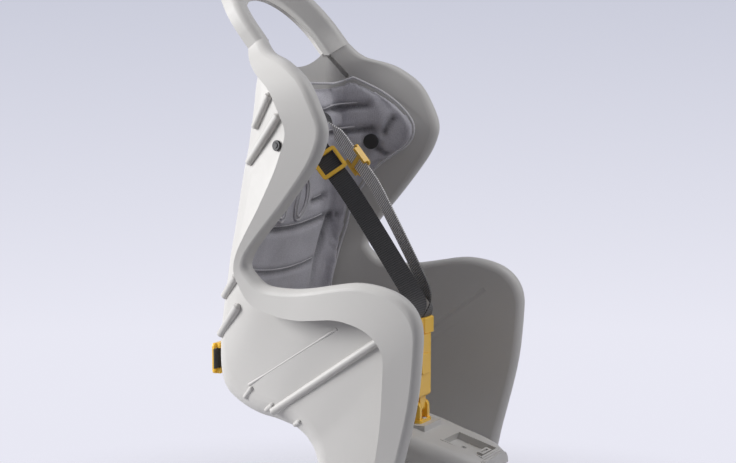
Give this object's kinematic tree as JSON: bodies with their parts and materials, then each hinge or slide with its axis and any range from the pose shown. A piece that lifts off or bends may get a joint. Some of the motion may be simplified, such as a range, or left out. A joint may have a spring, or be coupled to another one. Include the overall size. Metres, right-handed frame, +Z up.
{
  "type": "child bicycle seat",
  "caption": "Rear child seat for a bicycle: moulded bucket with winged back, grab handle, leg shields, quilted liner, harness with yellow buckle and a carrier bracket.",
  "frame": {"origin": "middle of the bracket face that sits on the bicycle's carrier", "axes": "+Z up, -Y forward over the saddle nose, +X to the right of someone who faces the seat from the front; names in left lie at -X, names in right at +X"},
  "size_m": [0.334, 0.3599, 0.8336],
  "materials": {
    "shell_plastic": "satin moulded",
    "liner_fabric": "quilted",
    "webbing": "ribbed weave",
    "yellow_plastic": "satin moulded",
    "black_plastic": "satin moulded",
    "steel": "zinc plated",
    "foot_rubber": "soft"
  },
  "bodies": {
    "seat": {"seat_shell": "shell_plastic", "seat_pad": "liner_fabric", "crotch_clevis": "yellow_plastic", "clevis_pin": "steel", "clevis_screws": "steel", "carrier_bracket": "black_plastic", "bracket_screws": "steel", "pad_button_left": "black_plastic", "pad_button_right": "black_plastic", "rivet_washer_left": "black_plastic", "rivet_washer_right": "black_plastic", "shoulder_strap_left": "webbing", "shoulder_strap_right": "webbing", "shoulder_keeper_left": "yellow_plastic", "shoulder_keeper_right": "yellow_plastic", "lap_strap_left": "webbing", "lap_strap_right": "webbing", "rear_slider_left": "yellow_plastic", "rear_slider_right": "yellow_plastic"},
    "buckle": {"buckle_body": "yellow_plastic", "buckle_tongue_left": "yellow_plastic", "buckle_tongue_right": "yellow_plastic"},
    "key": {"release_button": "yellow_plastic"},
    "slider_left": {"shoulder_slider_left": "yellow_plastic"},
    "cup_left": {"footrest_left": "shell_plastic", "foot_strap_left": "foot_rubber", "foot_strap_studs_left": "black_plastic"},
    "knob_left": {"footrest_knob_left": "black_plastic"},
    "slider_right": {"shoulder_slider_right": "yellow_plastic"},
    "cup_right": {"footrest_right": "shell_plastic", "foot_strap_right": "foot_rubber", "foot_strap_studs_right": "black_plastic"},
    "knob_right": {"footrest_knob_right": "black_plastic"}
  },
  "joints": [
    {"name": "crotch_pivot", "type": "hinge", "parent": "seat", "child": "buckle", "pos_m": [0, -0.076, 0.097], "axis": [1, 0, 0], "range_deg": [0, 30], "deforming": ["shoulder_strap_left", "shoulder_strap_right", "lap_strap_left", "lap_strap_right"]},
    {"name": "release_press", "type": "slide", "parent": "buckle", "child": "key", "axis": [0, 1, 0], "range_m": [0, 0.003], "stiffness_N_per_m": 900},
    {"name": "slider_left_slide", "type": "slide", "parent": "seat", "child": "slider_left", "axis": [0, -0.6428, -0.766], "range_m": [-0.02, 0.02]},
    {"name": "footrest_left_slide", "type": "slide", "parent": "seat", "child": "cup_left", "axis": [0, 0, 1], "range_m": [-0.02, 0.04]},
    {"name": "knob_left_turn", "type": "hinge", "parent": "cup_left", "child": "knob_left", "pos_m": [-0.098, -0.015, -0.118], "axis": [0, 1, 0], "range_deg": [-270, 0]},
    {"name": "slider_right_slide", "type": "slide", "parent": "seat", "child": "slider_right", "axis": [0, -0.6428, -0.766], "range_m": [-0.02, 0.02]},
    {"name": "footrest_right_slide", "type": "slide", "parent": "seat", "child": "cup_right", "axis": [0, 0, 1], "range_m": [-0.02, 0.04]},
    {"name": "knob_right_turn", "type": "hinge", "parent": "cup_right", "child": "knob_right", "pos_m": [0.098, -0.015, -0.118], "axis": [0, 1, 0], "range_deg": [-270, 0]}
  ]
}
